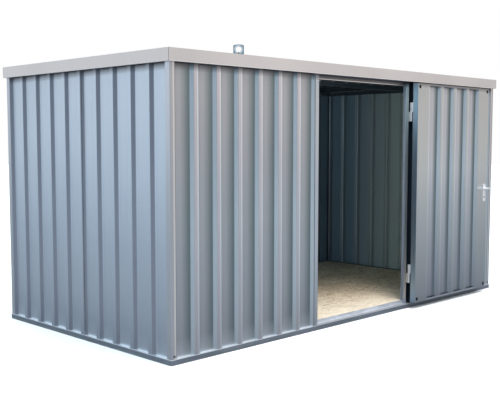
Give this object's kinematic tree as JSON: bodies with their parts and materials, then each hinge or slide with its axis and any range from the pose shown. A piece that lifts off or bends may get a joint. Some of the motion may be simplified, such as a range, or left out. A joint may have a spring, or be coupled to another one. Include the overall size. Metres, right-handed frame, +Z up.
{
  "type": "site container",
  "caption": "Site container of galvanised trapezoidal sheet on a folded base frame, with a low roof, a lifting eye, a chipboard floor and a single door that folds back against the wall.",
  "frame": {"origin": "ground level at the middle of the floor plan, on the underside of the middle floor bearer", "axes": "+X runs to the right along the door side, +Y points from the door side to the back, +Z is up"},
  "size_m": [4.232, 2.283, 2.345],
  "materials": {
    "galvanised_sheet": "hot-dip galvanised, dull",
    "galvanised_frame": "hot-dip galvanised, dull",
    "fascia_sheet": "pale grey, satin",
    "floor_board": "raw chipboard",
    "lifting_steel": "galvanised plate",
    "hinge_steel": "zinc plated",
    "black_plastic": "matt",
    "lock_steel": "zinc plated",
    "handle_chrome": "polished"
  },
  "bodies": {
    "container": {"base_rail_front": "galvanised_frame", "base_rail_back": "galvanised_frame", "base_rail_left": "galvanised_frame", "base_rail_right": "galvanised_frame", "floor_bearers": "galvanised_frame", "floor_boards": "floor_board", "corner_posts": "galvanised_sheet", "front_wall_left": "galvanised_sheet", "front_wall_right": "galvanised_sheet", "back_wall": "galvanised_sheet", "left_wall": "galvanised_sheet", "right_wall": "galvanised_sheet", "left_jamb": "galvanised_sheet", "right_jamb": "galvanised_sheet", "lintel": "galvanised_sheet", "eaves_beam_front": "galvanised_frame", "eaves_beam_back": "galvanised_frame", "gable_beam_left": "galvanised_frame", "gable_beam_right": "galvanised_frame", "ridge_beam": "galvanised_frame", "roof_front": "galvanised_sheet", "roof_back": "galvanised_sheet", "ridge_cap": "galvanised_sheet", "lifting_eye": "lifting_steel", "fascia_front": "fascia_sheet", "fascia_back": "fascia_sheet", "fascia_left": "fascia_sheet", "fascia_right": "fascia_sheet", "hinges_fixed": "hinge_steel"},
    "door": {"hinges_moving": "hinge_steel", "door_inner_sheet": "galvanised_sheet", "door_outer_sheet": "galvanised_sheet", "door_end_channels": "galvanised_sheet", "door_plugs": "black_plastic", "lock_case": "lock_steel", "key_cylinder": "lock_steel", "lock_plate_inner": "handle_chrome", "lock_plate_outer": "handle_chrome"},
    "lever": {"levers": "handle_chrome"}
  },
  "joints": [
    {"name": "door_hinge", "type": "hinge", "parent": "container", "child": "door", "pos_m": [0.638, -1.076, 1.035], "axis": [0, 0, -1], "range_deg": [0, 180]},
    {"name": "lever_turn", "type": "hinge", "parent": "door", "child": "lever", "pos_m": [1.815, -1.117, 1.035], "axis": [0, -1, 0], "range_deg": [0, 40], "stiffness_Nm_per_rad": 1.6}
  ]
}
